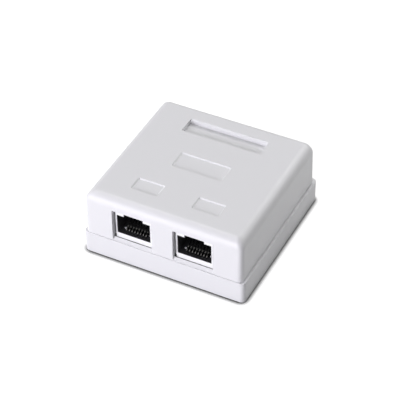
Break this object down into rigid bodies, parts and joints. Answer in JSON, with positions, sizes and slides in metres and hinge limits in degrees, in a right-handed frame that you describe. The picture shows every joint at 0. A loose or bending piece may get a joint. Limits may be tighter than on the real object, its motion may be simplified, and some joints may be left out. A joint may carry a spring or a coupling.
{
  "type": "surface mount jack box",
  "caption": "Low square wall box with a lift-off cover over two modular network jacks that face out of its front, and punch-down blocks behind them.",
  "frame": {"origin": "middle of the base's underside, which rests on the wall or bench", "axes": "+X along the front to the right, +Y from the jack faces to the back, +Z out of the wall through the cover"},
  "size_m": [0.058, 0.057, 0.025],
  "materials": {
    "base_plastic": "satin moulded white",
    "cover_plastic": "satin moulded white",
    "jack_plastic": "gloss bright white",
    "core_plastic": "gloss black",
    "idc_plastic": "matte white",
    "board_laminate": "satin green solder mask",
    "contact_metal": "dull plated spring wire",
    "blade_metal": "bright tin plate",
    "screw_steel": "zinc plated"
  },
  "bodies": {
    "base_unit": {"base": "base_plastic", "circuit_board": "board_laminate", "board_screw_1": "screw_steel", "board_screw_2": "screw_steel", "board_screw_3": "screw_steel", "board_screw_4": "screw_steel", "jack_shell_left": "jack_plastic", "jack_core_left": "core_plastic", "idc_block_left": "idc_plastic", "contact_wire_left_1": "contact_metal", "idc_blade_left_1": "blade_metal", "contact_wire_left_2": "contact_metal", "idc_blade_left_2": "blade_metal", "contact_wire_left_3": "contact_metal", "idc_blade_left_3": "blade_metal", "contact_wire_left_4": "contact_metal", "idc_blade_left_4": "blade_metal", "contact_wire_left_5": "contact_metal", "idc_blade_left_5": "blade_metal", "contact_wire_left_6": "contact_metal", "idc_blade_left_6": "blade_metal", "contact_wire_left_7": "contact_metal", "idc_blade_left_7": "blade_metal", "contact_wire_left_8": "contact_metal", "idc_blade_left_8": "blade_metal", "jack_shell_right": "jack_plastic", "jack_core_right": "core_plastic", "idc_block_right": "idc_plastic", "contact_wire_right_1": "contact_metal", "idc_blade_right_1": "blade_metal", "contact_wire_right_2": "contact_metal", "idc_blade_right_2": "blade_metal", "contact_wire_right_3": "contact_metal", "idc_blade_right_3": "blade_metal", "contact_wire_right_4": "contact_metal", "idc_blade_right_4": "blade_metal", "contact_wire_right_5": "contact_metal", "idc_blade_right_5": "blade_metal", "contact_wire_right_6": "contact_metal", "idc_blade_right_6": "blade_metal", "contact_wire_right_7": "contact_metal", "idc_blade_right_7": "blade_metal", "contact_wire_right_8": "contact_metal", "idc_blade_right_8": "blade_metal"},
    "cover": {"cover": "cover_plastic"}
  },
  "joints": [
    {"name": "cover_lift", "type": "slide", "parent": "base_unit", "child": "cover", "axis": [0, 0, 1], "range_m": [0, 0.03]}
  ]
}
